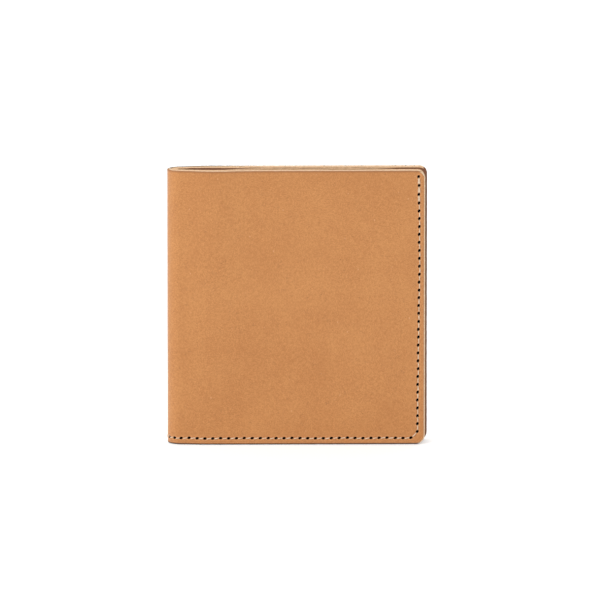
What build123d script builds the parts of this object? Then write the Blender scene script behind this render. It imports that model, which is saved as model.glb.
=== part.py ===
"""Bifold wallet in stitched leather, shut and standing on its bottom edge.

+Z is the height, the front cover faces -Y, the spine is at -X and the free edges at +X.
The origin is the middle of the footprint. Each half is a stack of leather sheets. The spine
between them is cut into strips, and bends in equal folds, about upright axes on its outer face.
"""

import os
from math import asin, atan2, degrees
from typing import NamedTuple

from build123d import *

# Outline
height = 105.0
closed_width = 96.7
front_setback = 0.6  # the front half ends this much short of the rear half's free edge
top_corner_radius = 3.0
bottom_corner_radius = 3.7
edge_bevel = 0.3  # cut along the outer edges of the cover

# Leather sheets and the gaps between them, from the outside of a half to its inside
cover_thickness = 1.6
bill_gap = 0.15  # banknotes go in here, between cover and lining
lining_thickness = 0.8
card_panel_thickness = 0.7
pocket_thickness = 0.5
pocket_gap = 0.05
closing_gap = 0.3  # between the two halves when the wallet is shut

# Spine
fold_count = 3
strip_gap = 0.1  # between two strips, at their outer face

# Card pockets: the lower one is a full sheet, those behind it are T-shaped
pocket_names = ("lower", "middle", "upper")
card_panel_setback = 1.5  # from the start of the bend to the edge of the panel and pockets
lowest_mouth = 52.0
mouth_step = 14.0
pocket_depth = 50.0  # from the mouth of a T pocket to the foot of its stem
tab_height = 17.0  # full width part of a T pocket
stem_inset = 7.0  # how far the stem is narrower, on each side
stem_fillet = 2.0

# Saddle stitching
stitch_pitch = 3.02
stitch_gap = 0.9  # left by the awl hole between two stitches
thread_width = 0.7
thread_thickness = 0.25
channel_clearance = 0.15  # beside the thread, in its channel
side_seam_inset = 2.8
bottom_seam_inset = 2.5
seam_corner = 2.4  # by how much the seam cuts the corner
seam_start = 2.4  # from the top edge, or from a pocket's mouth, to the first hole
stem_seam_inset = 1.6
stem_seam_margin = 3.0  # from the sides of a stem to the ends of its seam

# Depths are measured from the plane in which the halves meet to the inner face of a sheet
pocket_depths = [
    closing_gap / 2 + layer * (pocket_thickness + pocket_gap) for layer in range(len(pocket_names))
]
card_panel_depth = pocket_depths[-1] + pocket_thickness + pocket_gap
lining_depth = card_panel_depth + card_panel_thickness
cover_depth = lining_depth + lining_thickness + bill_gap
outer_depth = cover_depth + cover_thickness

fold_x = outer_depth - closed_width / 2  # where the bend of the spine starts
card_panel_x = fold_x + card_panel_setback
mouths = [lowest_mouth + layer * mouth_step for layer in range(len(pocket_names))]

fold_angle = 180 / fold_count
first_fold = fold_angle / 2  # angles round the bend start at the flat of a half
strip_margin = degrees(asin(strip_gap / 2 / outer_depth))

channel_width = thread_width + 2 * channel_clearance
up = (0, 0, 1)


class Half(NamedTuple):
    """One half of the wallet: sign is +1 behind the plane in which the halves meet, -1 before it."""

    name: str
    sign: int
    free_edge: float

    @property
    def inward(self):
        return (0, -self.sign, 0)

    @property
    def outward(self):
        return (0, self.sign, 0)

    def face(self, depth):
        """The upright plane at this depth, drawn in X and Z."""
        return Plane(origin=(0, self.sign * depth, 0), x_dir=(1, 0, 0), z_dir=(0, -1, 0))

    def plan(self, level=0.0):
        """The level plane, drawn in X and depth."""
        return Plane(origin=(0, 0, level), x_dir=(1, 0, 0), z_dir=(0, 0, self.sign))

    def perimeter_seam(self, row_end):
        """Corners of the seam down the free edge, across the corner and along the bottom edge."""
        column_x = self.free_edge - side_seam_inset
        return [
            Vector(column_x, height - seam_start),
            Vector(column_x, bottom_seam_inset + seam_corner),
            Vector(column_x - seam_corner, bottom_seam_inset),
            Vector(row_end, bottom_seam_inset),
        ]

    def spine_side_seam(self):
        """The seam that closes the pockets on the side of the spine."""
        column_x = card_panel_x + side_seam_inset
        return [Vector(column_x, mouths[-1] - seam_start), Vector(column_x, bottom_seam_inset)]

    def stem_sides(self):
        return card_panel_x + stem_inset, self.free_edge - stem_inset

    def stem_seam(self, layer):
        """The seam across the foot of a T pocket's stem."""
        left, right = self.stem_sides()
        level = mouths[layer] - pocket_depth + stem_seam_inset
        return [Vector(left + stem_seam_margin, level), Vector(right - stem_seam_margin, level)]


def bend_outline(plane, depth, thickness, start, end, flat_to=None):
    """Leather bent round the spine from one angle to another, and flat from there to an edge."""
    with BuildSketch(plane) as outline:
        with BuildLine():
            outer = CenterArc((fold_x, 0), depth + thickness, 90 + start, end - start)
            inner = CenterArc((fold_x, 0), depth, 90 + start, end - start)
            Line(outer @ 1, inner @ 1)
            if flat_to is None:
                Line(outer @ 0, inner @ 0)
            else:
                Polyline(outer @ 0, (flat_to, depth + thickness), (flat_to, depth), inner @ 0)
        make_face()
    return outline.sketch


def channel_outline(plane, corners):
    """The shallow channel in which a seam's thread lies."""
    with BuildSketch(plane) as outline:
        with BuildLine():
            Polyline(*corners)
        trace(line_width=channel_width)
    return outline.sketch


def bend_channel(half, depth, start, end):
    """The channel of the bottom seam where it goes round the outside of the spine."""
    plane = half.plan(bottom_seam_inset - channel_width / 2)
    return bend_outline(plane, depth - thread_thickness, thread_thickness, start, end)


def bend_stitch(half, depth, start, end):
    """One stitch of the bottom seam, round the outside of the spine."""
    margin = degrees(stitch_gap / 2 / depth)
    plane = half.plan(bottom_seam_inset - thread_width / 2)
    return bend_outline(plane, depth - thread_thickness, thread_thickness, start + margin, end - margin)


def stitches_between(corners):
    """The two holes of each stitch of a seam, at an even pitch between one corner and the next."""
    holes = [corners[0]]
    for start, end in zip(corners, corners[1:]):
        count = max(1, round((end - start).length / stitch_pitch))
        holes += [start + (end - start) * step / count for step in range(1, count + 1)]
    return list(zip(holes, holes[1:]))


def stitch_outlines(plane, stitches):
    """Flat stitches, each from one hole to the next."""
    with BuildSketch(plane) as outlines:
        for hole, following in stitches:
            run = following - hole
            with Locations((hole + following) / 2):
                Rectangle(run.length - stitch_gap, thread_width, rotation=degrees(atan2(run.Y, run.X)))
    return outlines.sketch


def free_corners(sheet):
    """The edges across the leather at the free edge's corners, from the bottom up."""
    return sheet.edges().filter_by(Axis.Y).group_by(Axis.X)[-1].sort_by(Axis.Z)


def write(part, name):
    part.label = name
    export_step(part, f"parts/{name}.step")


def build_cover(half):
    """Outer leather, with bevelled edges, the first stretch of the bend and the seam's channel."""
    plan = half.plan()
    seam = half.perimeter_seam(fold_x)
    with BuildPart() as cover:
        extrude(
            bend_outline(plan, cover_depth, cover_thickness, 0, first_fold - strip_margin, half.free_edge),
            amount=height,
            dir=up,
        )
        fillet(free_corners(cover)[0], bottom_corner_radius)
        fillet(free_corners(cover)[-1], top_corner_radius)
        face = cover.faces().filter_by(Axis.Y).sort_by(Axis.Y)[-1 if half.sign > 0 else 0]
        bend = cover.faces().filter_by(GeomType.CYLINDER).sort_by(lambda f: f.radius)[-1]
        rim = face.edges().filter_by(lambda e: e.center().X > fold_x + edge_bevel)
        rim += bend.edges().filter_by(lambda e: not 0 < e.center().Z < height)
        chamfer(rim, edge_bevel)
        for channel, amount, way in (
            (channel_outline(half.face(outer_depth), seam), thread_thickness, half.inward),
            (bend_channel(half, outer_depth, 0, first_fold), channel_width, up),
        ):
            extrude(channel, amount=amount, dir=way, mode=Mode.SUBTRACT)
    write(cover.part, f"{half.name}_cover")


def build_lining(half):
    """Back wall of the banknote compartment."""
    with BuildPart() as lining:
        extrude(
            bend_outline(
                half.plan(), lining_depth, lining_thickness, 0, first_fold - strip_margin, half.free_edge
            ),
            amount=height,
            dir=up,
        )
        fillet(free_corners(lining)[0], bottom_corner_radius)
        fillet(free_corners(lining)[-1], top_corner_radius)
    write(lining.part, f"{half.name}_lining")


def build_spine_strips(half):
    """The cover and the lining between the first fold and the fold in the middle of the spine."""
    start, end = first_fold + strip_margin, 90 - strip_margin
    with BuildPart() as cover:
        extrude(
            bend_outline(half.plan(), cover_depth, cover_thickness, start, end), amount=height, dir=up
        )
        bend = cover.faces().filter_by(GeomType.CYLINDER).sort_by(lambda f: f.radius)[-1]
        chamfer(bend.edges().filter_by(lambda e: not 0 < e.center().Z < height), edge_bevel)
        extrude(
            bend_channel(half, outer_depth, first_fold, 90), amount=channel_width, dir=up, mode=Mode.SUBTRACT
        )
    write(cover.part, f"spine_cover_{half.name}")

    with BuildPart() as lining:
        extrude(
            bend_outline(half.plan(), lining_depth, lining_thickness, start, end), amount=height, dir=up
        )
    write(lining.part, f"spine_lining_{half.name}")


def build_card_panel(half):
    """The sheet that carries the card pockets."""
    with BuildPart() as panel:
        with BuildSketch(half.face(card_panel_depth)):
            with Locations((card_panel_x, 0)):
                Rectangle(half.free_edge - card_panel_x, height, align=Align.MIN)
        extrude(amount=card_panel_thickness, dir=half.outward)
        fillet(free_corners(panel)[0], bottom_corner_radius)
        fillet(free_corners(panel)[-1], top_corner_radius)
        channel = channel_outline(half.face(card_panel_depth), half.perimeter_seam(card_panel_x))
        extrude(channel, amount=thread_thickness, dir=half.outward, mode=Mode.SUBTRACT)
    write(panel.part, f"{half.name}_card_panel")


def build_card_pocket(half, layer):
    """One card pocket: a full sheet, or a T whose stem is sewn to the panel behind the sheet."""
    depth, mouth = pocket_depths[layer], mouths[layer]
    width = half.free_edge - card_panel_x
    left, right = half.stem_sides()
    seams = [half.perimeter_seam(card_panel_x), half.spine_side_seam()]
    with BuildPart() as pocket:
        with BuildSketch(half.face(depth)) as outline:
            if layer == 0:
                with Locations((card_panel_x, 0)):
                    Rectangle(width, mouth, align=Align.MIN)
                fillet(outline.vertices().sort_by(Axis.Y)[:2].sort_by(Axis.X)[-1], bottom_corner_radius)
            else:
                with Locations((card_panel_x, mouth - tab_height)):
                    Rectangle(width, tab_height, align=Align.MIN)
                with Locations((left, mouth - pocket_depth)):
                    Rectangle(right - left, pocket_depth, align=Align.MIN)
                under_tab = outline.vertices().group_by(Axis.Y)[1].sort_by(Axis.X)
                fillet(under_tab[1:-1], stem_fillet)
                seams.append(half.stem_seam(layer))
        extrude(amount=pocket_thickness, dir=half.outward)
        for seam in seams:
            channel = channel_outline(half.face(depth), seam)
            extrude(channel, amount=thread_thickness, dir=half.outward, mode=Mode.SUBTRACT)
    write(pocket.part, f"{half.name}_card_pocket_{pocket_names[layer]}")


def sheet_depth(stitch):
    """Depth of the sheet on which a stitch lies, on the inside of a half."""
    middle = (stitch[0].Y + stitch[1].Y) / 2
    for depth, mouth in zip(pocket_depths, mouths):
        if middle < mouth:
            return depth
    return card_panel_depth


def build_perimeter_stitches(half):
    """The seam that joins the sheets: on the cover, round the first bend and on the inside."""
    inside = stitches_between(half.perimeter_seam(card_panel_x + side_seam_inset))
    with BuildPart() as stitches:
        outlines = stitch_outlines(half.face(outer_depth), stitches_between(half.perimeter_seam(fold_x)))
        extrude(outlines, amount=thread_thickness, dir=half.inward)
        extrude(bend_stitch(half, outer_depth, 0, first_fold), amount=thread_width, dir=up)
        for depth in (*pocket_depths, card_panel_depth):
            outlines = stitch_outlines(half.face(depth), [s for s in inside if sheet_depth(s) == depth])
            extrude(outlines, amount=thread_thickness, dir=half.outward)
    write(stitches.part, f"{half.name}_perimeter_stitches")


def build_pocket_stitches(half):
    """The seams that join the pockets to their panel: beside the spine and across the stems."""
    beside_spine = stitches_between(half.spine_side_seam())
    with BuildPart() as stitches:
        for layer, depth in enumerate(pocket_depths):
            rows = [s for s in beside_spine if sheet_depth(s) == depth]
            if layer > 0:
                rows += stitches_between(half.stem_seam(layer))
            extrude(stitch_outlines(half.face(depth), rows), amount=thread_thickness, dir=half.outward)
    write(stitches.part, f"{half.name}_pocket_stitches")


def build_spine_stitches(half):
    """Two stitches of the bottom seam, round the strip next to this half."""
    middle = (first_fold + 90) / 2
    with BuildPart() as stitches:
        for start, end in ((first_fold, middle), (middle, 90)):
            extrude(bend_stitch(half, outer_depth, start, end), amount=thread_width, dir=up)
    write(stitches.part, f"spine_stitches_{half.name}")


os.makedirs("parts", exist_ok=True)

rear = Half("rear", 1, closed_width / 2)
front = Half("front", -1, closed_width / 2 - front_setback)

for half in (rear, front):
    build_cover(half)
    build_lining(half)
    build_card_panel(half)
    for layer in range(len(pocket_names)):
        build_card_pocket(half, layer)
    build_perimeter_stitches(half)
    build_pocket_stitches(half)
    build_spine_strips(half)
    build_spine_stitches(half)
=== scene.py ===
# A two-fold wallet in natural, vegetable tanned leather. It stands closed and upright, with the
# fold on the left, the free edges on the right and the front half towards -Y.
import math

import bpy
import numpy as np
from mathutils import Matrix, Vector
from mathutils.geometry import delaunay_2d_cdt
from mathutils.kdtree import KDTree


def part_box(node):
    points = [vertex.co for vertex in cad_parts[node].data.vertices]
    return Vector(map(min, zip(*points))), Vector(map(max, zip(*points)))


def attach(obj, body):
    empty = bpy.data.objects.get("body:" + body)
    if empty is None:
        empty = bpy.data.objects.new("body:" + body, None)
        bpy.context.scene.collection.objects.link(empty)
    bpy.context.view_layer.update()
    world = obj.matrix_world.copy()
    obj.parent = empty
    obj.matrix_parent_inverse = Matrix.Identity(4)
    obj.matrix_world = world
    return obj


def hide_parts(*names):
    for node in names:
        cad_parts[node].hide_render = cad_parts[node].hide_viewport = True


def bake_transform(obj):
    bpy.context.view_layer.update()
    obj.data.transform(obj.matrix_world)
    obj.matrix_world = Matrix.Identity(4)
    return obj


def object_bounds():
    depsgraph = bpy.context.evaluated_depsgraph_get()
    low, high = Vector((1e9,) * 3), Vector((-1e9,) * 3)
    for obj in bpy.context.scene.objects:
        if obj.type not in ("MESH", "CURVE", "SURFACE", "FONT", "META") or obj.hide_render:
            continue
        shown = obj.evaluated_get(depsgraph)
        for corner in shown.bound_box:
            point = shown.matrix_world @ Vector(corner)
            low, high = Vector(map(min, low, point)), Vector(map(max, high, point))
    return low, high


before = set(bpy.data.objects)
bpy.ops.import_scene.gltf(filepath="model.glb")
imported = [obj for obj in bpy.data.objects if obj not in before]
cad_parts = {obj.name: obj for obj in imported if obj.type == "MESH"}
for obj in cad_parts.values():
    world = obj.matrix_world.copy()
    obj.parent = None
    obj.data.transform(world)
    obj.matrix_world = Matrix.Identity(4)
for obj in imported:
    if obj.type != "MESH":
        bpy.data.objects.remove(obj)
solids_low, solids_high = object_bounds()


# ---------------------------------------------------------------- The outer cover
# One piece of 1.6 mm shoulder goes round both halves, grain side out, with rounded corners and
# a raw cut edge. A creased line runs along the edge, and the awl opens slanting holes in a
# pressed channel, through which all the layers are sewn together.
mm = 0.001
height = solids_high.z / mm
bend_radius = solids_high.y / mm
fold_x = solids_low.x / mm + bend_radius
quarter_bend = bend_radius * math.pi / 2
sides = {"front": 1, "rear": -1}
free_edges = {half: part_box(f"{half}_cover")[1].x / mm for half in sides}
cover_thickness, cover_rounding = 1.6, 0.5
cover_corners = {"top": 3.0, "bottom": 3.7}
crease_from_edge, crease_depth = 1.15, 0.13
seam_from_side, seam_from_bottom = 2.8, 2.5
seam_from_top, seam_corner = 2.4, 2.4
first_pitches = [3.43, 3.35, 3.27]
column_stitches, row_stitches, bend_step = 32, 29, math.radians(30)
hole_radius, hole_depth, hole_stretch, hole_shade_radius = 0.47, 1.25, 1.35, 0.46
# The fold is pressed flatter on the rear. Beside it the front bows out towards the top, and at
# the free edges the layers slip a little past each other.
pressed = {"front": 0.15, "rear": 0.33}
slip = {"front": 0.2, "rear": 0.4}
bow, bow_x, bow_reach = 0.9, -30.0, 8.5


def smooth(values, start, end):
    """Rises from 0 at start to 1 at end."""
    part = np.clip((values - start) / (end - start), 0, 1)
    return part * part * (3 - 2 * part)


def waves(points, length, seed):
    """Soft random unevenness between about -1 and 1, with swells of this length."""
    chance = np.random.default_rng(seed)
    total = np.zeros(len(points))
    for _ in range(9):
        angle = chance.uniform(0, math.tau)
        pace = math.tau / (length * chance.uniform(0.7, 1.6))
        along = points[:, 0] * math.cos(angle) + points[:, 1] * math.sin(angle)
        total += np.cos(along * pace + chance.uniform(0, math.tau))
    return total / 4.5


def run_of(half, x):
    """Distance along the unrolled outside from the middle of the spine, positive on the front."""
    return sides[half] * (quarter_bend + x - fold_x)


def place(runs, levels, depths):
    """Rolls points of the flat sheet round the fold; depth counts inwards from the outside."""
    runs, levels, depths = np.broadcast_arrays(runs, levels, depths)
    radius = bend_radius - depths
    turn = np.clip(runs / bend_radius, -math.pi / 2, math.pi / 2)
    beyond = np.maximum(np.abs(runs) - quarter_bend, 0)
    x = fold_x - radius * np.cos(turn) + beyond
    y = -radius * np.sin(turn)
    on_rear = y > 0
    near_fold = 1 - smooth(x, fold_x - 3, fold_x + 11)
    y = y * (1 - np.where(on_rear, pressed["rear"], pressed["front"]) * near_fold)
    bowed = bow * np.exp(-(((x - bow_x) / bow_reach) ** 2)) * smooth(levels, 35, 105)
    y = y - bowed * smooth(-y, 0, 1.5)
    x = x + np.where(on_rear, slip["rear"], slip["front"]) * smooth(x, 20, 46)
    return np.stack([x, y, levels], axis=-1)


def rounded(corners, radii, spacing, stops=()):
    """A closed outline, counter-clockwise, with rounded corners and points at these runs."""
    corners = [np.array(corner, float) for corner in corners]
    count = len(corners)
    tangents = []
    for i, corner in enumerate(corners):
        back = corners[i - 1] - corner
        ahead = corners[(i + 1) % count] - corner
        back, ahead = back / np.hypot(*back), ahead / np.hypot(*ahead)
        half_angle = math.acos(np.clip(back @ ahead, -1, 1)) / 2
        reach = radii[i] / math.tan(half_angle)
        centre = corner + (back + ahead) / np.hypot(*(back + ahead)) * radii[i] / math.sin(half_angle)
        tangents.append((corner + back * reach, corner + ahead * reach, centre))
    outline = []
    for i in range(count):
        entry, leave, centre = tangents[i]
        first = math.atan2(*(entry - centre)[::-1])
        turn = math.atan2(*(leave - centre)[::-1]) - first
        turn = (turn + math.pi) % math.tau - math.pi
        steps = max(3, round(abs(turn) * radii[i] / (spacing * 0.6)))
        for step in range(steps + 1):
            angle = first + turn * step / steps
            outline.append(centre + radii[i] * np.array([math.cos(angle), math.sin(angle)]))
        following = tangents[(i + 1) % count][0]
        gap = following - leave
        pieces = max(1, round(np.hypot(*gap) / spacing))
        shares = list(np.arange(1, pieces) / pieces)
        if abs(gap[1]) < 1e-6 and len(stops):
            held = [(stop - leave[0]) / gap[0] for stop in stops]
            held = [share for share in held if 0.001 < share < 0.999]
            near = 0.5 * spacing / abs(gap[0])
            low, high = (min(held), max(held)) if held else (2, 2)
            shares = [s for s in shares if s < low - near or s > high + near] + held
        for share in sorted(shares):
            outline.append(leave + gap * share)
    return np.array(outline)


def inset(outline, distance):
    """The outline moved inwards."""
    before = outline - np.roll(outline, 1, axis=0)
    after = np.roll(outline, -1, axis=0) - outline
    before /= np.maximum(np.hypot(*before.T), 1e-9)[:, None]
    after /= np.maximum(np.hypot(*after.T), 1e-9)[:, None]
    middle = before + after
    middle /= np.hypot(*middle.T)[:, None]
    stretch = 1 / np.maximum((middle * after).sum(1), 0.5)
    return outline + np.stack([-middle[:, 1], middle[:, 0]], 1) * (distance * stretch)[:, None]


def nearest(points, others):
    """Distance from each point to the nearest of the others, and which one that is."""
    tree = KDTree(len(others))
    for i, other in enumerate(others):
        tree.insert((other[0], other[1], 0), i)
    tree.balance()
    found = [tree.find((p[0], p[1], 0)) for p in points]
    return np.array([f[2] for f in found]), np.array([f[1] for f in found])


def thinned(points, others, least):
    """Those points that keep clear of the others."""
    away, _ = nearest(points, others)
    return points[away >= least]


def trimmed(points, outline, margin):
    """Points that lie inside the outline by the margin."""
    low, high = outline.min(0) + margin, outline.max(0) - margin
    kept = points[((points > low) & (points < high)).all(1)]
    away, _ = nearest(kept, outline)
    return kept[away > margin]


def filled(border, inner, cuts=()):
    """Triangles that fill a border through the inner points, with edges along the cut runs."""
    points = [border]
    edges = []
    for cut in cuts:
        ends = np.nonzero(np.abs(border[:, 0] - cut) < 1e-6)[0]
        line = inner[np.abs(inner[:, 0] - cut) < 1e-6]
        inner = inner[np.abs(inner[:, 0] - cut) >= 1e-6]
        line = line[np.argsort(line[:, 1])]
        start = sum(map(len, points))
        chain = list(range(start, start + len(line)))
        ends = sorted(ends, key=lambda end: border[end, 1])
        chain = [ends[0], *chain, ends[-1]]
        edges += list(zip(chain, chain[1:]))
        points.append(line)
    points.append(inner)
    points = np.concatenate([part for part in points if len(part)])
    made = delaunay_2d_cdt(
        [Vector(p) for p in points.tolist()],
        [tuple(map(int, e)) for e in edges],
        [list(range(len(border)))],
        1,
        1e-7,
        True,
    )
    flat = np.array([tuple(v) for v in made[0]])
    at_border = {}
    for i, sources in enumerate(made[3]):
        at_border.update({source: i for source in sources if source < len(border)})
    faces = []
    for face in made[2]:
        a, b, c = (flat[i] for i in face[:3])
        crossed = (b[0] - a[0]) * (c[1] - a[1]) - (b[1] - a[1]) * (c[0] - a[0])
        faces.append(tuple(face) if crossed > 0 else tuple(reversed(face)))
    return flat, faces, [at_border[i] for i in range(len(border))]


def sheet(outline, depth, thickness, outside, inside, lift=None, sink=None, cuts=(), round_by=0.3):
    """A cut leather sheet: both faces and the rounded edge between them, unrolled.
    Faces are marked 0 on the outside, 1 on the cut edge and 2 on the inside."""
    r = min(round_by, thickness * 0.45)
    shoulder = [(r, 0.0), (r * 0.55, r * 0.12), (r * 0.2, r * 0.42), (0.0, r)]
    flank = [(0.0, thickness * share) for share in (0.36, 0.5, 0.64)]
    flank = [ring for ring in flank if r < ring[1] < thickness - r]
    rings = shoulder + flank + [(away, thickness - down) for away, down in reversed(shoulder)]
    uneven = waves(outline, 0.9, 5) * 0.02 + waves(outline, 3.1, 6) * 0.03
    uneven *= 1 if thickness > 0.6 else 0.4
    flats, depths, faces, kinds, loops = [], [], [], [], []
    for number, (distance, down) in enumerate(rings):
        ring = inset(outline, distance + 0.02)
        if 0 < number < len(rings) - 1:
            ring = inset(outline, distance + 0.05)
            normal = ring - outline
            normal /= np.maximum(np.hypot(*normal.T), 1e-9)[:, None]
            ring = ring + normal * uneven[:, None]
            for cut in cuts:
                on_cut = np.abs(outline[:, 0] - cut) < 1e-6
                ring[on_cut, 0] = cut
        loops.append((ring, down))
    border = loops[0][0]
    flat, tops, border_at = filled(border, outside, cuts)
    raised = lift(flat) if lift else np.zeros(len(flat))
    flats.append(flat)
    depths.append(-raised)
    faces += tops
    kinds += [0] * len(tops)
    offset = len(flat)
    ring_at = [np.array(border_at)]
    for ring, down in loops[1:-1]:
        ring_at.append(np.arange(offset, offset + len(ring)))
        flats.append(ring)
        part = down / thickness
        top_lift = lift(loops[0][0]) if lift else 0.0
        low_lift = sink(loops[-1][0]) if sink else 0.0
        depths.append(down - (top_lift * (1 - part) + low_lift * part))
        offset += len(ring)
    flat, unders, border_at = filled(loops[-1][0], inside, cuts)
    pushed = sink(flat) if sink else np.zeros(len(flat))
    flats.append(flat)
    depths.append(thickness - pushed)
    faces += [tuple(offset + i for i in reversed(face)) for face in unders]
    kinds += [2] * len(unders)
    ring_at.append(np.array(border_at) + offset)
    for upper, lower in zip(ring_at, ring_at[1:]):
        following_up, following_low = np.roll(upper, -1), np.roll(lower, -1)
        faces += list(zip(upper.tolist(), lower.tolist(), following_low.tolist(), following_up.tolist()))
        kinds += [1] * len(upper)
    flats = np.concatenate(flats)
    return flats, depth + np.concatenate(depths), faces, np.array(kinds)


def note(mesh, name, values):
    """Keeps a triple of numbers on each point of a mesh, for its finish to read."""
    kept = mesh.attributes.new(name, "FLOAT_VECTOR", "POINT")
    kept.data.foreach_set("vector", values.astype(np.float32).ravel())


def shape(names, flats, depths, faces, kinds, materials, marks=None, cuts=()):
    """Meshes of a placed sheet, one for each stretch between the cuts, with shared normals."""
    places = place(flats[:, 0], flats[:, 1], depths) * mm
    whole = bpy.data.meshes.new("whole")
    whole.from_pydata(places.tolist(), [], faces)
    whole.update()
    normals = np.zeros(len(places) * 3, np.float32)
    whole.vertex_normals.foreach_get("vector", normals)
    normals = normals.reshape(-1, 3)
    bpy.data.meshes.remove(whole)
    centres = np.array([flats[list(face), 0].mean() for face in faces])
    stretch = np.digitize(centres, sorted(cuts))
    made = []
    for number, piece_name in enumerate(names):
        kept = [face for face, s in zip(faces, stretch) if s == number]
        used = np.unique(np.concatenate([np.array(face) for face in kept]))
        renumber = np.full(len(places), -1)
        renumber[used] = np.arange(len(used))
        mesh = bpy.data.meshes.new(piece_name)
        loops = [[int(renumber[i]) for i in face] for face in kept]
        mesh.from_pydata(places[used].tolist(), [], loops)
        mesh.polygons.foreach_set("use_smooth", [True] * len(kept))
        for material in materials:
            mesh.materials.append(material)
        mesh.polygons.foreach_set("material_index", kinds[stretch == number].astype(np.int32))
        note(mesh, "flat", np.stack([flats[used, 0], depths[used], flats[used, 1]], 1))
        if marks is not None:
            note(mesh, "marks", marks[used])
        mesh.normals_split_custom_set_from_vertices(normals[used].tolist())
        piece = bpy.data.objects.new(piece_name, mesh)
        bpy.context.scene.collection.objects.link(piece)
        made.append(piece)
    return made


def bend_with(piece):
    """Bakes the piece's placement into its mesh."""
    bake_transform(piece)


def bend_all(pieces):
    """Bakes the placement of the rear, spine and front pieces of one sheet."""
    bend_with(pieces[0])
    bend_with(pieces[1])
    bend_with(pieces[2])


# Runs of the split lines, a third and two thirds of the way round the fold.
thirds = (-bend_radius * math.pi / 6, bend_radius * math.pi / 6)
bend_runs = np.linspace(-quarter_bend, quarter_bend, 37)
bend_runs = np.sort(np.concatenate([bend_runs, [t + s for t in thirds for s in (-0.08, 0.08)]]))


def wander(levels):
    """How far the hand-held seam strays outwards down the side."""
    return np.interp(levels, [0, 5, 40, 72, 90, 105], [-0.15, -0.15, 0.2, 0.6, 0.5, 0.25])


def seam_holes():
    """Awl holes in order, from the top of the front, along the bottom, to the top of the rear."""
    half_paths = {}
    for half, side in sides.items():
        column = free_edges[half] - seam_from_side
        top, foot = height - seam_from_top, seam_from_bottom + seam_corner
        plain_stitches = column_stitches - len(first_pitches)
        pitch = (top - foot - sum(first_pitches)) / plain_stitches
        levels = top - np.cumsum([0] + first_pitches + [pitch] * plain_stitches)
        path = [(run_of(half, column + wander(z)), z) for z in levels]
        ends = np.linspace(column - seam_corner, fold_x, row_stitches + 1)
        path += [(run_of(half, x), seam_from_bottom) for x in ends]
        path += [(side * (quarter_bend - bend_radius * bend_step * i), seam_from_bottom) for i in (1, 2)]
        half_paths[half] = path
    return np.array(half_paths["front"] + [(0.0, seam_from_bottom)] + half_paths["rear"][::-1])


holes = seam_holes()
hole_steps = np.gradient(holes, axis=0)
hole_steps /= np.hypot(*hole_steps.T)[:, None]
hole_axes = np.abs(hole_steps) + np.random.default_rng(3).uniform(0.2, 0.5, holes.shape)
hole_axes /= np.hypot(*hole_axes.T)[:, None]
hole_axes[:, 0] *= np.sign(holes[:, 0] + 0.001)
on_flat = np.abs(holes[:, :1]) > quarter_bend + 1
holes = holes + np.where(on_flat, np.random.default_rng(4).normal(0, 0.05, holes.shape), 0)

side_run = run_of("front", free_edges["front"])
cover_outline = rounded(
    [
        (run_of("rear", free_edges["rear"]), 0),
        (run_of("front", free_edges["front"]), 0),
        (run_of("front", free_edges["front"]), height),
        (run_of("rear", free_edges["rear"]), height),
    ],
    [cover_corners["bottom"]] * 2 + [cover_corners["top"]] * 2,
    0.8,
    bend_runs,
)


def along_seam(step, offsets):
    """Points beside the seam, this far apart and this far to its sides."""
    lengths = np.concatenate([[0], np.cumsum(np.hypot(*np.diff(holes, axis=0).T))])
    stations = np.arange(-2.0, lengths[-1] + 2.0, step)
    runs = np.interp(stations, lengths, holes[:, 0])
    levels = np.interp(stations, lengths, holes[:, 1])
    past_ends = np.maximum(stations - lengths[-1], 0) - np.minimum(stations, 0)
    path = np.stack([runs, levels + past_ends], 1)
    ways = np.gradient(path, axis=0)
    ways /= np.maximum(np.hypot(*ways.T), 1e-9)[:, None]
    across = np.stack([-ways[:, 1], ways[:, 0]], 1)
    return np.concatenate([path + across * offset for offset in offsets])


seam_line = along_seam(0.1, [0.0])


def hole_nearness(points):
    """Distance to the nearest awl hole, in which the slanting hole is a circle."""
    _, which = nearest(points, holes)
    away = points - holes[which]
    axis = hole_axes[which]
    lengthwise = (away * axis).sum(1) / hole_stretch
    crosswise = away[:, 1] * axis[:, 0] - away[:, 0] * axis[:, 1]
    return np.hypot(lengthwise, crosswise)


def cover_lift(points):
    """How far the grain side stands out: soft swells, the crease, the channel and the holes."""
    seam, _ = nearest(points, seam_line)
    edge, _ = nearest(points, cover_outline)
    hole = hole_nearness(points)
    bent = 1 - smooth(np.abs(points[:, 0]), quarter_bend, quarter_bend + 10)
    swell = waves(points, 38, 1) * 0.10 + waves(points, 13, 2) * 0.03
    lift = swell * (1 - 0.7 * bent) * smooth(edge, 0, 12)
    off_sides = 1 - smooth(np.abs(points[:, 0]), side_run - 4, side_run - 2)
    creased_here = 1 - smooth(points[:, 1], height - 4, height - 2) * off_sides
    lift -= crease_depth * creased_here * np.exp(-(((edge - crease_from_edge) / 0.2) ** 2))
    lift -= 0.20 * np.exp(-((seam / 0.5) ** 2))
    lift += 0.07 * np.exp(-(((hole - 0.64) / 0.14) ** 2))
    lift -= hole_depth * (1 - smooth(hole, 0.30, hole_radius + 0.03))
    return lift


def cover_marks(points):
    """How much each point is in a hole (painted shade), by a hole or the seam (painted highlight), by
    the edge.
    """
    seam, _ = nearest(points, seam_line)
    edge, _ = nearest(points, cover_outline)
    hole = hole_nearness(points)
    painted_highlight = np.exp(-(((hole - 0.68) / 0.2) ** 2)) + 0.25 * np.exp(-((seam / 0.9) ** 2))
    rim = np.exp(-(((edge - 0.55) / 0.3) ** 2))
    return np.stack([1 - smooth(hole, 0.44, 0.53), painted_highlight, rim], 1)


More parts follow.
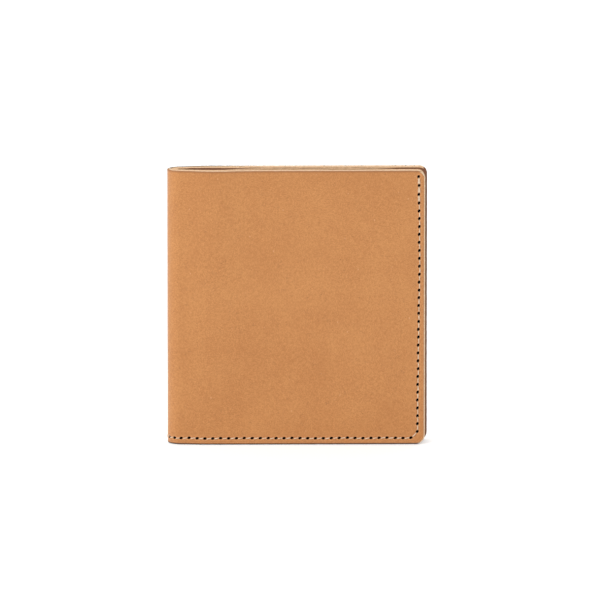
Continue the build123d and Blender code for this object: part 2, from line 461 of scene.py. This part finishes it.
ring_points = []
for centre, axis in zip(holes, hole_axes):
    across = np.array([-axis[1], axis[0]])
    ring_points.append(centre[None])
    for radius in (0.18, 0.31, 0.39, hole_radius + 0.03, 0.57, 0.68, 0.82):
        angles = (np.arange(12) / 12 * math.tau + radius)[:, None]
        around = hole_stretch * np.cos(angles) * axis + np.sin(angles) * across
        ring_points.append(centre + radius * around)
ring_points = np.concatenate(ring_points)

band = along_seam(0.4, [0, -0.2, 0.2, -0.42, 0.42, -0.7, 0.7, -1.1, 1.1])
band = band[hole_nearness(band) > 0.9]
creased = [inset(cover_outline, away) for away in (0.75, 0.93, 1.05, crease_from_edge, 1.25, 1.4, 1.75)]
creased = thinned(np.concatenate(creased), np.concatenate([ring_points, band]), 0.16)
detail = np.concatenate([ring_points, band, creased])

flat_runs = np.concatenate([
    np.arange(quarter_bend + 1.2, run_of("front", free_edges["front"]), 2.0),
    -np.arange(quarter_bend + 1.2, -run_of("rear", free_edges["rear"]), 2.0),
])
lattice_runs = np.concatenate([flat_runs, bend_runs])
lattice_levels = np.arange(2.0, height - 1.0, 2.0)
lattice = np.stack(np.meshgrid(lattice_runs, lattice_levels), -1).reshape(-1, 2)
edge_away, _ = nearest(lattice, cover_outline)
lattice = lattice[edge_away > 1.9]
clearance = np.where(np.abs(lattice[:, 0]) < quarter_bend + 0.1, 0.22, 0.9)
lattice = thinned(lattice, detail, clearance)


def spread(points, margin):
    """Points inside the cover's outline that lie on a split line or well clear of it."""
    kept = trimmed(points, cover_outline, margin)
    away = np.min(np.abs(kept[:, 0][:, None] - np.array(thirds)[None]), axis=1)
    return kept[(away < 1e-6) | (away > 0.05)]


outside_points = spread(np.concatenate([detail, lattice]), 0.66)
inside_points = spread(lattice, 0.9)


class Wire:
    """A socket in a finish, so that sums of sockets are written as sums."""

    def __init__(self, finish, socket):
        self.finish = finish
        self.socket = socket

    def maths(self, operation, *terms):
        return self.finish.node("ShaderNodeMath", {"operation": operation}, dict(enumerate(terms)))

    def __add__(self, other):
        return self.maths("ADD", self, other)

    def __radd__(self, other):
        return self.maths("ADD", other, self)

    def __sub__(self, other):
        return self.maths("SUBTRACT", self, other)

    def __rsub__(self, other):
        return self.maths("SUBTRACT", other, self)

    def __mul__(self, other):
        return self.maths("MULTIPLY", self, other)

    def __rmul__(self, other):
        return self.maths("MULTIPLY", other, self)

    def __abs__(self):
        return self.maths("ABSOLUTE", self)


class Finish:
    """A finish whose pattern is laid on the unrolled leather, so that it bends with it."""

    def __init__(self, name, kind="materials"):
        self.material = getattr(bpy.data, kind).new(name)
        self.material.use_nodes = True
        self.nodes = self.material.node_tree.nodes
        self.links = self.material.node_tree.links
        self.shader = self.nodes["Principled BSDF" if kind == "materials" else "Background"]

    def fill(self, sockets, values):
        for key, value in values.items():
            if isinstance(value, Wire):
                self.links.new(value.socket, sockets[key])
            else:
                sockets[key].default_value = value

    def node(self, kind, settings=None, values=None, out=0):
        made = self.nodes.new(kind)
        for key, value in (settings or {}).items():
            setattr(made, key, value)
        self.fill(made.inputs, values or {})
        return Wire(self, made.outputs[out])

    def noted(self, name):
        return self.node("ShaderNodeAttribute", {"attribute_name": name}, out="Vector")

    def flat(self):
        return self.noted("flat")

    def vector(self, operation, first, second):
        return self.node("ShaderNodeVectorMath", {"operation": operation}, {0: first, 1: second})

    def stretched(self, scale):
        return self.vector("MULTIPLY", self.flat(), scale)

    def noise(self, scale, detail=2.0, roughness=0.5, where=None, offset=0.0):
        where = where or self.flat()
        if offset:
            where = self.vector("ADD", where, (offset, offset, offset))
        values = {"Vector": where, "Scale": scale, "Detail": detail, "Roughness": roughness}
        return self.node("ShaderNodeTexNoise", {"noise_dimensions": "3D"}, values)

    def cells(self, scale, where=None):
        values = {"Vector": where or self.flat(), "Scale": scale}
        return self.node("ShaderNodeTexVoronoi", {"feature": "F1"}, values)

    def between(self, value, low, high):
        values = {"Value": value, "From Min": low, "From Max": high}
        return self.node("ShaderNodeMapRange", {"interpolation_type": "SMOOTHSTEP"}, values)

    def mix(self, share, first, second):
        return self.node("ShaderNodeMix", {"data_type": "RGBA"}, {0: share, 6: first, 7: second}, 2)

    def part(self, vector, axis):
        return self.node("ShaderNodeSeparateXYZ", None, {"Vector": vector}, axis)

    def mark(self, axis):
        return self.part(self.noted("marks"), axis)

    def bump(self, heights, distance, normal=None):
        values = {"Height": heights, "Distance": distance, "Strength": 1.0}
        if normal is not None:
            values["Normal"] = normal
        return self.node("ShaderNodeBump", None, values)

    def done(self, **values):
        named = {key.replace("_", " "): value for key, value in values.items()}
        self.fill(self.shader.inputs, named)
        return self.material


def shade(red, green, blue):
    """A colour as a paint card gives it, from 0 to 255, for the shaders."""
    shares = [channel / 255 for channel in (red, green, blue)]
    linear = [share / 12.92 if share <= 0.04 else ((share + 0.055) / 1.055) ** 2.4 for share in shares]
    return (*linear, 1.0)


def grain_leather(name, main, light, dark, marked=True, bump=1.0, rim=0.0):
    """The smooth side of natural leather: fine pores, soft clouds, hairlines and specks. Marked, it has
    painted shade in the holes and a painted highlight round them; a rim adds painted shade along the
    top and the sides.
    """
    hide = Finish(name)
    clouds = hide.noise(0.045, 3, 0.55)
    patches = hide.noise(0.16, 3, 0.6, offset=31.0)
    streaks = hide.noise(1.0, 2, 0.5, where=hide.stretched((0.35, 0.5, 0.05)), offset=7.0)
    mottle = hide.noise(1.25, 3, 0.62, offset=61.0)
    fine = hide.noise(2.6, 2, 0.6)
    pores = hide.cells(2.4)
    chosen = hide.between(hide.noise(0.6, 1, 0.5, offset=90.0), 0.53, 0.6)
    specks = (1 - hide.between(hide.cells(0.42), 0.05, 0.12)) * chosen
    vein = hide.noise(0.21, 3, 0.62, offset=17.0) - 0.5
    hairline = 1 - hide.between(abs(vein), 0.0, 0.011)
    hairline = hairline * hide.between(hide.noise(0.33, 2, 0.5, offset=44.0), 0.5, 0.62)
    tone = (clouds - 0.5) * 0.9 + (patches - 0.5) * 0.3 + (streaks - 0.5) * 0.12
    tone = tone + (mottle - 0.5) * 1.7 + (fine - 0.5) * 2.4
    colour = hide.mix(hide.between(tone, -0.75, 0.75), dark, light)
    colour = hide.mix(0.3, colour, main)
    colour = hide.mix(specks * 0.6, colour, shade(150, 86, 44))
    colour = hide.mix(hairline * 0.36, colour, shade(150, 90, 48))
    scuffs = 1 - hide.between(hide.cells(0.36, hide.stretched((1.0, 1.0, 0.7))), 0.04, 0.13)
    scuffs = scuffs * hide.between(hide.noise(0.45, 1, 0.5, offset=23.0), 0.55, 0.63)
    colour = hide.mix(scuffs * 0.4, colour, shade(236, 186, 138))
    rough = 0.5 + (fine - 0.5) * 0.25 + (patches - 0.5) * 0.12
    if marked:
        # Painted highlight round the holes and along the seam.
        colour = hide.mix(hide.mark(1) * 0.5, colour, shade(232, 164, 104))
        edge = hide.mark(2)
        colour = hide.mix(edge * 0.5, colour, shade(160, 100, 56))
        # Painted shade inside the holes.
        colour = hide.mix(hide.mark(0) * 0.99, colour, shade(9, 4, 2))
        rough = rough + edge * 0.08
    # Painted shade along the top and the sides of the inner faces, where they lie in the narrow gap
    # between the layers.
    if rim:
        top_gap_shade = hide.between(hide.part(hide.flat(), 2), height - 2.6, height - 0.5)
        side_gap_shade = hide.between(abs(hide.part(hide.flat(), 0)), side_run - 1.9, side_run - 0.8)
        colour = hide.mix(top_gap_shade * rim, colour, shade(104, 56, 27))
        colour = hide.mix(side_gap_shade * rim, colour, shade(112, 62, 32))
    heights = fine * 0.6 + mottle * 0.5 + hide.between(pores, 0.0, 0.22) * 0.3 - hairline * 0.25
    normal = hide.bump(hide.noise(0.5, 3, 0.6, offset=51.0), 0.00012 * bump)
    normal = hide.bump(heights, 0.00007 * bump, normal)
    return hide.done(
        Base_Color=colour,
        Roughness=rough,
        Normal=normal,
        Specular_IOR_Level=0.5,
        Sheen_Weight=0.5,
        Sheen_Roughness=0.4,
    )


def cut_edge(name, pale, deep, grain=None):
    """The raw cut edge: pale packed fibres in layers, with painted shade on the sides, darkest on
    the rear. On the cover the grain rolls over the top rim in a tone darkened as painted shade, the
    rear's top is darker in patches, and the foot carries a painted contact shadow."""
    edge = Finish(name)
    fibres = edge.noise(1.0, 4, 0.7, where=edge.stretched((1.6, 9.0, 1.6)))
    clumps = edge.noise(1.3, 3, 0.6, offset=12.0)
    tufts = edge.noise(5.0, 4, 0.7, offset=4.0)
    colour = edge.mix(edge.between(fibres * 0.65 + clumps * 0.35, 0.3, 0.68), deep, pale)
    run, depth, level = (edge.part(edge.flat(), axis) for axis in range(3))
    run_out = abs(run)
    top = edge.between(level, height - 0.9, height - 0.5)
    on_rear = 1 - edge.between(run, -2.0, 2.0)
    on_side = edge.between(run_out, side_run - 1.2, side_run - 0.5)
    inward = edge.between(depth + on_rear, 0.55, 0.75)
    # Painted shade on the sides of the edge, set back from the front face, and darker painted shade on
    # the rear's side.
    colour = edge.mix(on_side * inward * (1 - top * 0.8) * 0.8, colour, shade(150, 94, 56))
    colour = edge.mix(on_side * on_rear * (1 - top * 0.8) * 0.75, colour, shade(112, 62, 32))
    if grain:
        off_side = 1 - edge.between(run_out, side_run - 2.4, side_run - 1.0)
        # The grain rolls over the top rim, painted darker than the grain's own tone as shade against the
        # light from above.
        rolled = top * (1 - edge.between(depth, 0.3, 0.5)) * off_side
        colour = edge.mix(rolled * 0.9, colour, grain)
        # Darker in patches along the top of the rear's edge.
        patchy = edge.between(clumps + edge.between(run, -44.0, -16.0) * 0.2, 0.55, 0.63)
        rear_top_dark = on_rear * top * (1 - edge.between(depth, 1.2, 1.5)) * patchy
        colour = edge.mix(rear_top_dark * 0.95, colour, shade(48, 26, 18))
        # Painted contact shadow along the foot, where the edge stands on the paper.
        foot = (1 - edge.between(level, 0.45, 0.75)) * (1 - edge.between(depth, 1.0, 1.5))
        colour = edge.mix(foot * 0.96, colour, shade(44, 22, 14))
    rough = 0.74 + (tufts - 0.5) * 0.3
    normal = edge.bump(fibres * 0.6 + tufts * 0.5, 0.00012)
    return edge.done(Base_Color=colour, Roughness=rough, Normal=normal, Specular_IOR_Level=0.25)


def flesh_side(name, main, dark):
    """The under side: short loose nap without shine."""
    nap = Finish(name)
    tufts = nap.noise(2.2, 4, 0.7)
    tone = tufts * 0.6 + nap.noise(0.25, 3, 0.6, offset=8.0) * 0.4
    colour = nap.mix(nap.between(tone, 0.3, 0.7), dark, main)
    rough = 0.86 + (tufts - 0.5) * 0.15
    normal = nap.bump(tufts, 0.0002)
    return nap.done(Base_Color=colour, Roughness=rough, Normal=normal, Specular_IOR_Level=0.15)


def painted_shade_hole(name):
    """Inside of a hole: nearly black, rough and without shine, as painted shade."""
    pit = Finish(name)
    fibres = pit.noise(3.0, 2, 0.6)
    # The near-black colours are painted shade: the hole is dark because light does not reach into it.
    colour = pit.mix(pit.between(fibres, 0.35, 0.65), shade(8, 4, 2), shade(22, 10, 6))
    return pit.done(Base_Color=colour, Roughness=0.95 + (fibres - 0.5) * 0.1, Specular_IOR_Level=0.0)


# Finishes in the order of the face marks: grain side, cut edge, flesh side and the inside of a
# hole, which is painted shade.
cover_finishes = [
    grain_leather("cover_leather_grain", shade(202, 136, 74), shade(220, 155, 92), shade(183, 115, 58)),
    # Its last colour, the grain rolled over the top rim, is darkened as painted shade.
    cut_edge("cover_leather_cut_edge", shade(255, 232, 202), shade(226, 184, 140), shade(166, 108, 62)),
    flesh_side("cover_leather_flesh_side", shade(206, 168, 128), shade(178, 136, 96)),
    painted_shade_hole("cover_leather_hole_painted_shade"),
]
flats, depths, faces, kinds = sheet(
    cover_outline,
    0.0,
    cover_thickness,
    outside_points,
    inside_points,
    cover_lift,
    None,
    thirds,
    cover_rounding,
)
top_faces = np.nonzero(kinds == 0)[0]
middles = np.array([flats[list(faces[i])].mean(0) for i in top_faces])
# Faces inside the holes take the hole finish of painted shade.
kinds[top_faces[hole_nearness(middles) < hole_shade_radius]] = 3
marks = cover_marks(flats)
marks[depths > hole_depth + 0.05, 0] = 0
cover_names = ["cover_rear", "cover_spine", "cover_front"]
cover = shape(cover_names, flats, depths, faces, kinds, cover_finishes, marks, thirds)
bend_all(cover)
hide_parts("rear_cover")
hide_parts("spine_cover_rear", "spine_cover_front")
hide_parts("front_cover")


# ---------------------------------------------------------------- The seam of the cover
# Waxed two-ply linen, cream, sewn by saddle stitch from the top of the front round to the top
# of the rear. The first three stitches at each end are sewn twice, so they are thick there.
ply_radius, ply_twist, thread_rise = 0.24, 1.7, 0.02
sewn_twice = 3


def stitch(start, end, rise, radius, offset, slant, chance, into=0.50):
    """One stitch between two holes, as a twisted bead that dives into both, unrolled."""
    rings, around = 17, 12
    start, end = np.array(start, float), np.array(end, float)
    way = (end - start) / np.hypot(*(end - start))
    start, end = start + way * into, end - way * into
    across = np.array([way[1], -way[0]])
    length = np.hypot(*(end - start))
    share = np.linspace(0.0, 1.0, rings)
    share = 0.5 - 0.5 * np.cos(share * math.pi) * (1 - 0.35 * np.sin(share * math.pi))
    sag = np.exp(-((share / 0.10) ** 2)) + np.exp(-(((1 - share) / 0.10) ** 2))
    lateral = offset + slant * (0.5 - share) + chance.normal(0, 0.02)
    centre = start + way * (share * length)[:, None] + across * lateral[:, None]
    up = rise - 0.62 * sag + 0.04 * np.sin(share * math.pi)
    angles = np.arange(around) / around * math.tau
    turn = share[:, None] * length / ply_twist * math.tau / 2 + chance.uniform(0, math.tau)
    ply = 1 + 0.17 * (np.abs(np.cos(angles[None] - turn)) - 0.6)
    width = radius * ply * (1 - 0.25 * sag[:, None])
    runs_levels = centre[:, None, :] + across[None, None, :] * (np.cos(angles)[None] * width)[:, :, None]
    heights = up[:, None] + np.sin(angles)[None] * width
    flats = runs_levels.reshape(-1, 2)
    depths = -heights.reshape(-1)
    faces = []
    for i in range(rings - 1):
        for j in range(around):
            k = (j + 1) % around
            faces.append((i * around + j, i * around + k, (i + 1) * around + k, (i + 1) * around + j))
    faces.append(tuple(reversed(range(around))))
    faces.append(tuple((rings - 1) * around + j for j in range(around)))
    return flats, depths, faces


def gather(parts):
    """Joins loose beads into one list of points and faces."""
    flats, depths, faces, count = [], [], [], 0
    for flat, depth, loops in parts:
        flats.append(flat)
        depths.append(depth)
        faces += [tuple(i + count for i in loop) for loop in loops]
        count += len(flat)
    return np.concatenate(flats), np.concatenate(depths), faces


def linen(name, main, dark):
    """Waxed thread: fine fibres along the twist, a little darker in the lay of the plies."""
    yarn = Finish(name)
    fibres = yarn.noise(9.0, 3, 0.6)
    slubs = yarn.noise(1.1, 2, 0.5, offset=5.0)
    colour = yarn.mix(yarn.between(fibres * 0.55 + slubs * 0.45, 0.34, 0.66), dark, main)
    normal = yarn.bump(fibres, 0.00004)
    rough = 0.58 + (fibres - 0.5) * 0.3
    return yarn.done(Base_Color=colour, Roughness=rough, Normal=normal, Specular_IOR_Level=0.3)


seam_thread = linen("thread_cream", shade(246, 222, 194), shade(214, 180, 146))


def seam_beads():
    """Beads along the seam, sorted by the third of the fold in which they lie."""
    chance = np.random.default_rng(11)
    groups = [[], [], []]
    last = len(holes) - 2
    for i, (a, b) in enumerate(zip(holes, holes[1:])):
        middle = (a[0] + b[0]) / 2
        group = groups[int(np.digitize(middle, thirds))]
        on_row = abs(b[1] - a[1]) < 0.3
        offset, slant = (-0.02, 0.36) if on_row else (-0.14, 0.05)
        if middle < 0:
            offset, slant = -offset, -slant
        if min(i, last - i) < sewn_twice:
            for side, cross in ((-0.24, 0.12), (0.16, -0.16)):
                bead = stitch(a, b, thread_rise + 0.05, ply_radius * 1.05, side, cross, chance, 0.46)
                group.append(bead)
        else:
            group.append(stitch(a, b, thread_rise, ply_radius, offset, slant, chance))
    return groups


def beads(name, parts, material):
    """One piece of thread from its beads."""
    flats, depths, faces = gather(parts)
    return shape([name], flats, depths, faces, np.zeros(len(faces), int), [material])[0]


def across_fold(name, groups):
    """The rear, spine and front pieces of a seam that goes round the fold."""
    parts = zip(("rear", "spine", "front"), groups)
    return [beads(f"{name}_{part}", group, seam_thread) for part, group in parts]


outer_seam = across_fold("cover_seam", seam_beads())
bend_all(outer_seam)
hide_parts("rear_perimeter_stitches")
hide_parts("spine_stitches_rear", "spine_stitches_front")
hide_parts("front_perimeter_stitches")


# ---------------------------------------------------------------- The lining
# A sheet of 0.8 mm split of the same hide backs the whole cover, flesh side to flesh side, and
# makes the note compartment with the card panels. It is held by the seam alone.
lining_thickness, lining_gap, lining_inset, lining_rounding = 0.8, 0.15, 0.12, 0.2
lining_depth = cover_thickness + lining_gap
lining_tones = shade(205, 146, 92), shade(218, 164, 110), shade(186, 126, 74)
# The flesh side is outwards, against the cover's, and the grain side shows inside.
lining_finishes = [
    flesh_side("lining_leather_flesh_side", shade(208, 170, 130), shade(180, 138, 98)),
    cut_edge("lining_leather_cut_edge", shade(242, 206, 166), shade(206, 156, 108)),
    grain_leather("lining_leather_grain", *lining_tones, marked=False, bump=0.8, rim=0.85),
]


def plain_points(outline, spacing, margin, runs=None):
    """An even spread of points inside an outline."""
    low, high = outline.min(0), outline.max(0)
    across = np.arange(low[0] + spacing / 2, high[0], spacing) if runs is None else runs
    up = np.arange(low[1] + spacing / 2, high[1], spacing)
    return trimmed(np.stack(np.meshgrid(across, up), -1).reshape(-1, 2), outline, margin)


lining_outline = inset(cover_outline, lining_inset)
on_bend = np.abs(cover_outline[:, 0]) < quarter_bend + 0.01
lining_outline[on_bend, 0] = cover_outline[on_bend, 0]
lining_points = plain_points(lining_outline, 2.5, 0.9, lattice_runs)


def lining_lift(points, held=0.0):
    """The lining bunches up inside the fold, and hangs a little free at the top."""
    away = np.abs(points[:, 0])
    slack = (1 - smooth(away, quarter_bend + 0.5, quarter_bend + 7)) * smooth(points[:, 1], 5, 12)
    slack *= 1.3 + 0.12 * waves(points, 7, 22)
    free = smooth(points[:, 1], 72, height) * smooth(away, quarter_bend + 2, quarter_bend + 20)
    free *= 1 - smooth(away, quarter_bend + 76, quarter_bend + 90)
    return -slack * held - free * (0.10 + 0.06 * waves(points, 17, 21))


flats, depths, faces, kinds = sheet(
    lining_outline,
    lining_depth,
    lining_thickness,
    lining_points,
    lining_points,
    lining_lift,
    lambda points: lining_lift(points, 1.0),
    thirds,
    lining_rounding,
)
lining_names = ["lining_rear", "lining_spine", "lining_front"]
lining = shape(lining_names, flats, depths, faces, kinds, lining_finishes, None, thirds)
bend_all(lining)
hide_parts("rear_lining")
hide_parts("spine_lining_rear", "spine_lining_front")
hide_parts("front_lining")


# ---------------------------------------------------------------- The card panels
# A 0.7 mm sheet on each half closes the note compartment and carries the card pockets. Its
# side towards the fold is left open, so notes slide in from the top and from the fold.
panel_low, panel_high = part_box("front_card_panel")
panel_x = panel_low.x / mm
panel_thickness = (panel_high.y - panel_low.y) / mm
panel_depth = bend_radius + panel_low.y / mm
panel_rounding, sheet_inset, small_corner = 0.18, 0.1, 0.8
pocket_tones = shade(203, 143, 88), shade(218, 162, 106), shade(184, 122, 70)
pocket_finishes = [
    flesh_side("pocket_leather_flesh_side", shade(206, 168, 128), shade(178, 136, 96)),
    cut_edge("pocket_leather_cut_edge", shade(244, 210, 172), shade(208, 158, 110)),
    grain_leather("pocket_leather_grain", *pocket_tones, marked=False, bump=0.9, rim=0.85),
]


def half_outline(half, corners, radii, spacing):
    """An outline given in X on one half, unrolled and kept counter-clockwise."""
    flat = [(run_of(half, x), z) for x, z in corners]
    if sides[half] < 0:
        flat, radii = flat[::-1], radii[::-1]
    return rounded(flat, radii, spacing)


def panel_lean(half):
    """The free top edges of the two panels lean to each other, unevenly, away from the seams."""
    amount, seed = (1.15, 31) if half == "front" else (1.05, 33)

    def lean(points):
        x = np.abs(points[:, 0]) - quarter_bend + fold_x
        across = smooth(x, -34, -14) * (1 - smooth(x, 28, 41))
        up = smooth(points[:, 1], 84, height)
        return -up * (across * amount * (1 + 0.25 * waves(points * [1, 0], 9, seed)) + 0.15)

    return lean


for half in sides:
    right = free_edges[half]
    corners = [(panel_x, 0), (right, 0), (right, height), (panel_x, height)]
    radii = [small_corner, cover_corners["bottom"], cover_corners["top"], small_corner]
    outline = inset(half_outline(half, corners, radii, 0.9), sheet_inset)
    points = plain_points(outline, 2.4, 0.8)
    lean = panel_lean(half)
    depth, thickness = panel_depth + 0.02, panel_thickness - 0.02
    made = sheet(outline, depth, thickness, points, points, lean, lean, (), panel_rounding)
    panel = shape([f"card_panel_{half}"], *made, pocket_finishes)[0]
    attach(panel, f"{half}_half")
    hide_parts(f"{half}_card_panel")


# ---------------------------------------------------------------- The card pockets
# Three pockets step down each half, cut from 0.5 mm leather. The lowest is a full sheet; the
# upper two are T shaped, so that only their tabs reach the side seams, and the foot of each
# stem is sewn to the panel. A creased line finishes each mouth.
tab_height, pocket_depth, stem_inset, stem_fillet = 17.0, 50.0, 7.0, 2.0
pocket_rounding, crease_from_mouth = 0.14, 1.6
pocket_names = ("lower", "middle", "upper")


def crease_under(mouth):
    """The pressed line along a mouth, and the soft swell of the sheet under it."""

    def press(points):
        crease = 0.07 * np.exp(-(((points[:, 1] - mouth + crease_from_mouth) / 0.22) ** 2))
        return crease - 0.015 * waves(points, 11, 41)

    return press


mouths, pocket_faces = {}, {}
for half in sides:
    for layer in pocket_names:
        node = f"{half}_card_pocket_{layer}"
        pocket_low, pocket_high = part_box(node)
        left, right = pocket_low.x / mm, pocket_high.x / mm
        mouth = pocket_high.z / mm
        mouths[layer] = mouth
        thickness = (pocket_high.y - pocket_low.y) / mm
        depth = bend_radius - max(abs(pocket_low.y), abs(pocket_high.y)) / mm
        pocket_faces[layer] = depth + thickness
        if layer == "lower":
            corners = [(left, 0), (right, 0), (right, mouth), (left, mouth)]
            radii = [small_corner, cover_corners["bottom"], small_corner, small_corner]
        else:
            under, foot = mouth - tab_height, mouth - pocket_depth
            stem_left, stem_right = left + stem_inset, right - stem_inset
            corners = [
                (left, under),
                (stem_left, under),
                (stem_left, foot),
                (stem_right, foot),
                (stem_right, under),
                (right, under),
                (right, mouth),
                (left, mouth),
            ]
            radii = [small_corner] * 8
            radii[1] = radii[4] = stem_fillet
        outline = inset(half_outline(half, corners, radii, 0.9), sheet_inset)
        along = np.arange(outline[:, 0].min() + 0.6, outline[:, 0].max() - 0.6, 0.9)
        crease_levels = mouth - crease_from_mouth + np.array([-0.4, -0.2, 0, 0.2, 0.4])
        creases = np.stack([np.tile(along, 5), np.repeat(crease_levels, len(along))], 1)
        points = np.concatenate([thinned(plain_points(outline, 2.6, 0.7), creases, 0.5), creases])
        pressed_in = crease_under(mouth)
        made = sheet(outline, depth, thickness, points, points, None, pressed_in, (), pocket_rounding)
        pocket = shape([f"card_pocket_{half}_{layer}"], *made, pocket_finishes)[0]
        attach(pocket, f"{half}_half")
        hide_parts(node)


# ---------------------------------------------------------------- The seams inside
# The same thread shows inside: the outer seam comes through on the pockets, the panel and the
# lining, a column closes the pockets beside the fold, and a short row holds each stem's foot.
inner_rise, inner_radius, inner_slant, inner_pitch = -0.12, 0.21, 0.2, 3.02
foot_from_stem, foot_row_inset = 1.6, 3.0
flat_from = quarter_bend + 1.5
inner_chance = np.random.default_rng(17)


def inner_face(level):
    """Depth of the face that lies innermost on the panels at this level."""
    for layer in pocket_names:
        if level < mouths[layer]:
            return pocket_faces[layer]
    return panel_depth + panel_thickness


def inner_bead(start, end, depth):
    """A stitch on the inner side, on a face at this depth."""
    flat, down, loops = stitch(start, end, inner_rise, inner_radius, 0.0, inner_slant, inner_chance)
    return flat, depth - down, [loop[::-1] for loop in loops]


def even_steps(first, last):
    """Places of awl holes from first to last, as near to the pitch as fits."""
    return np.linspace(first, last, round(abs(last - first) / inner_pitch) + 1)


for half, side in sides.items():
    parts = []
    for a, b in zip(holes, holes[1:]):
        middle_run, middle_level = (a + b) / 2
        if side * middle_run >= flat_from:
            parts.append(inner_bead(a, b, inner_face(middle_level)))
    through = beads(f"inner_seam_{half}", parts, seam_thread)
    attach(through, f"{half}_half")
    column_run = run_of(half, panel_x + seam_from_side)
    column = [(column_run, z) for z in even_steps(mouths["upper"] - seam_from_top, seam_from_bottom)]
    parts = [inner_bead(a, b, inner_face((a[1] + b[1]) / 2)) for a, b in zip(column, column[1:])]
    for layer in ("middle", "upper"):
        level = mouths[layer] - pocket_depth + foot_from_stem
        first = panel_x + stem_inset + foot_row_inset
        last = free_edges[half] - stem_inset - foot_row_inset
        row = [(run_of(half, x), level) for x in even_steps(first, last)]
        parts += [inner_bead(a, b, pocket_faces[layer]) for a, b in zip(row, row[1:])]
    closing = beads(f"pocket_seam_{half}", parts, seam_thread)
    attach(closing, f"{half}_half")
    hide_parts(f"{half}_pocket_stitches")

fold_groups = [[], [], []]
for a, b in zip(holes, holes[1:]):
    middle_run = (a[0] + b[0]) / 2
    if abs(middle_run) < flat_from:
        group = fold_groups[int(np.digitize(middle_run, thirds))]
        group.append(inner_bead(a, b, lining_depth + lining_thickness))
fold_seam = across_fold("fold_seam", fold_groups)
bend_all(fold_seam)


# ---------------------------------------------------------------- The table and the room
# A seamless sheet of white paper lies under the wallet and takes its shadow. To the eye, and in
# anything glossy, paper and room are plain white, but they light the wallet only softly.
paper_reach, paper_drop, paper_glow = 6.0, 0.0001, 0.46
room_light = 0.55


def seen_plainly(finish):
    """1 for the eye and for what mirrors the view or lets it through, 0 for light on the wallet."""
    seen = finish.node("ShaderNodeLightPath", out="Is Camera Ray")
    for ray in ("Is Glossy Ray", "Is Transmission Ray"):
        seen = seen.maths("MAXIMUM", seen, finish.node("ShaderNodeLightPath", out=ray))
    return seen


paper = Finish("white_paper")
matte = paper.node("ShaderNodeBsdfDiffuse", None, {"Color": (0.80, 0.79, 0.78, 1)})
glow_strength = seen_plainly(paper) * paper_glow
glow = paper.node("ShaderNodeEmission", None, {"Color": (1, 1, 1, 1), "Strength": glow_strength})
both = paper.node("ShaderNodeAddShader", None, {0: matte, 1: glow})
paper.fill(paper.nodes["Material Output"].inputs, {"Surface": both})
paper.nodes.remove(paper.shader)

floor_mesh = bpy.data.meshes.new("floor")
paper_corners = ((-1, -1), (1, -1), (1, 1), (-1, 1))
floor_corners = [(x * paper_reach, y * paper_reach, 0) for x, y in paper_corners]
floor_mesh.from_pydata(floor_corners, [], [(0, 1, 2, 3)])
floor_mesh.materials.append(paper.material)
floor = bpy.data.objects.new("floor", floor_mesh)
floor.location.z = -paper_drop
bpy.context.scene.collection.objects.link(floor)

room = Finish("room", "worlds")
room.done(Color=(1, 1, 1, 1), Strength=room_light + (1 - room_light) * seen_plainly(room))
bpy.context.scene.world = room.material


# ---------------------------------------------------------------- The lamps and the camera
# Four broad soft lamps: the key from the upper left, one beside the fold, a weak one from the
# right, and one above and behind for the back and the top edges. The camera looks down a little
# from far away, so that the sides stay upright.
lamp_size = 0.8


def lamp(name, place_at, power):
    """A soft square lamp that faces the wallet."""
    light = bpy.data.lights.new(name, "AREA")
    light.shape = "SQUARE"
    light.size = lamp_size
    light.energy = power
    thing = bpy.data.objects.new(name, light)
    thing.location = place_at
    thing.rotation_mode = "QUATERNION"
    facing = (solids_low + solids_high) / 2 - Vector(place_at)
    thing.rotation_quaternion = facing.to_track_quat("-Z", "Y")
    bpy.context.scene.collection.objects.link(thing)


lamp("key_lamp", (-0.70, -1.0, 0.95), 8.4)
lamp("side_lamp", (-1.1, -0.12, 0.25), 3.0)
lamp("fill_lamp", (0.8, -1.1, 0.45), 1.2)
lamp("top_lamp", (0.1, 0.75, 1.2), 6.0)

distance, elevation, azimuth = 6.229, math.radians(13), math.radians(-0.6)
aim = Vector((0.00120, 0, 0.05441))
level_reach = math.cos(elevation)
back = Vector((math.sin(azimuth) * level_reach, -math.cos(azimuth) * level_reach, math.sin(elevation)))
camera_data = bpy.data.cameras.new("camera")
camera_data.lens = 1000
camera_data.sensor_width = 36
camera_data.clip_end = 30
camera = bpy.data.objects.new("camera", camera_data)
camera.location = aim + back * distance
camera.rotation_mode = "QUATERNION"
camera.rotation_quaternion = (-back).to_track_quat("-Z", "Y")
bpy.context.scene.collection.objects.link(camera)
bpy.context.scene.camera = camera
bpy.context.scene.view_settings.view_transform = "Standard"
